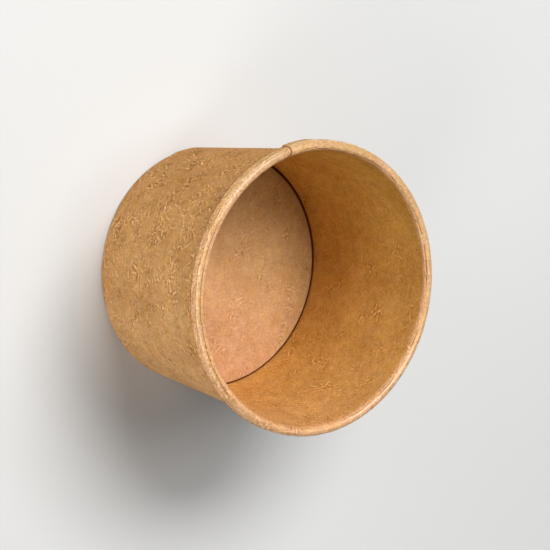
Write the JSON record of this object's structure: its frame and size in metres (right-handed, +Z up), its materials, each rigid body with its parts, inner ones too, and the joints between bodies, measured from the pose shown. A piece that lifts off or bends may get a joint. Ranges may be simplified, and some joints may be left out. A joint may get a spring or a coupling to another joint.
{
  "type": "paper soup container",
  "caption": "Round kraft board soup container: tapered wall with a lapped side seam, rolled rim, recessed base disc and folded foot, open at the top.",
  "frame": {"origin": "centre of the foot ring, in the plane that it stands on", "axes": "+Z up the container's axis, towards the open rim; the inner ply's cut edge at the side seam is 210 degrees from +X, anticlockwise seen from above"},
  "size_m": [0.098, 0.098, 0.0682],
  "materials": {
    "wall_board": "matte",
    "base_board": "matte"
  },
  "bodies": {
    "root": {"side_wall": "wall_board", "base_disc": "base_board"}
  },
  "joints": []
}
